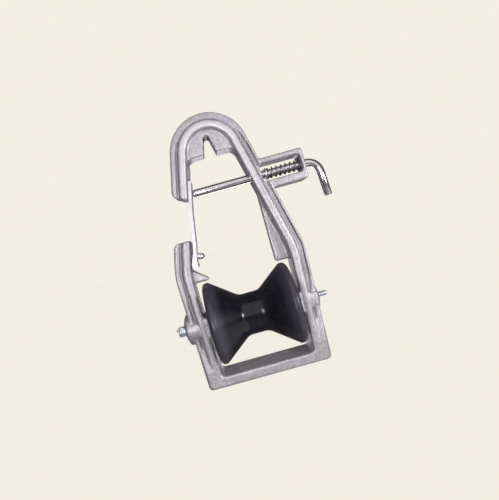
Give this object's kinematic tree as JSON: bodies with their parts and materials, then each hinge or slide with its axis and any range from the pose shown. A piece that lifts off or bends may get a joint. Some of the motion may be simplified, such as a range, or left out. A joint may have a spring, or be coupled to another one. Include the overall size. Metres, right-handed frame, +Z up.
{
  "type": "pulley block",
  "caption": "C-shaped pulley block with an hourglass roller, a notched hook for a support strand, and a spring plunger that locks a hinged side gate.",
  "frame": {"origin": "middle of the flat foot, straight below the roller's middle", "axes": "+X along the roller's axis, away from the gate and towards the handle; +Y from the front face to the back; +Z up, from the foot to the hook's crown"},
  "size_m": [0.2277, 0.099, 0.3215],
  "materials": {
    "cast_aluminium": "satin, sand-cast grain",
    "roller_rubber": "satin",
    "hub_aluminium": "satin",
    "bush_bronze": "satin",
    "plated_steel": "zinc-plated, satin",
    "gate_steel": "plated, semi-bright",
    "rod_steel": "plated, semi-bright",
    "spring_steel": "dark oiled"
  },
  "bodies": {
    "frame": {"frame_casting": "cast_aluminium", "axle_sleeve": "plated_steel", "axle_stud": "plated_steel", "left_thrust_washer": "plated_steel", "right_thrust_washer": "plated_steel", "nut_washer": "plated_steel", "slotted_nut": "plated_steel", "cotter_pin": "plated_steel", "plunger_spring": "spring_steel"},
    "roller": {"roller_tyre": "roller_rubber", "roller_core": "hub_aluminium", "left_bush": "bush_bronze", "right_bush": "bush_bronze"},
    "spring_seat": {"spring_washer": "plated_steel"},
    "plunger": {"plunger_rod": "rod_steel", "plunger_cross_pin": "rod_steel"},
    "gate": {"gate_strap": "gate_steel", "gate_hinge_pin": "plated_steel", "gate_stop_stud": "gate_steel"}
  },
  "joints": [
    {"name": "roller_spin", "type": "hinge", "parent": "frame", "child": "roller", "pos_m": [0, 0, 0.0737], "axis": [1, 0, 0], "continuous": true},
    {"name": "plunger_slide", "type": "slide", "parent": "frame", "child": "spring_seat", "axis": [1, 0, 0], "range_m": [0, 0.022], "stiffness_N_per_m": 1000, "springref_m": -0.01, "deforming": ["plunger_spring"]},
    {"name": "handle_turn", "type": "hinge", "parent": "spring_seat", "child": "plunger", "pos_m": [0, 0, 0.2328], "axis": [1, 0, 0], "continuous": true},
    {"name": "gate_swing", "type": "hinge", "parent": "frame", "child": "gate", "pos_m": [-0.0526, 0, 0.1469], "axis": [0, 1, 0], "range_deg": [0, 13]}
  ],
  "couplings": [
    {"joint": "gate_swing", "follows": "plunger_slide", "rad_per_m": 10.1}
  ]
}
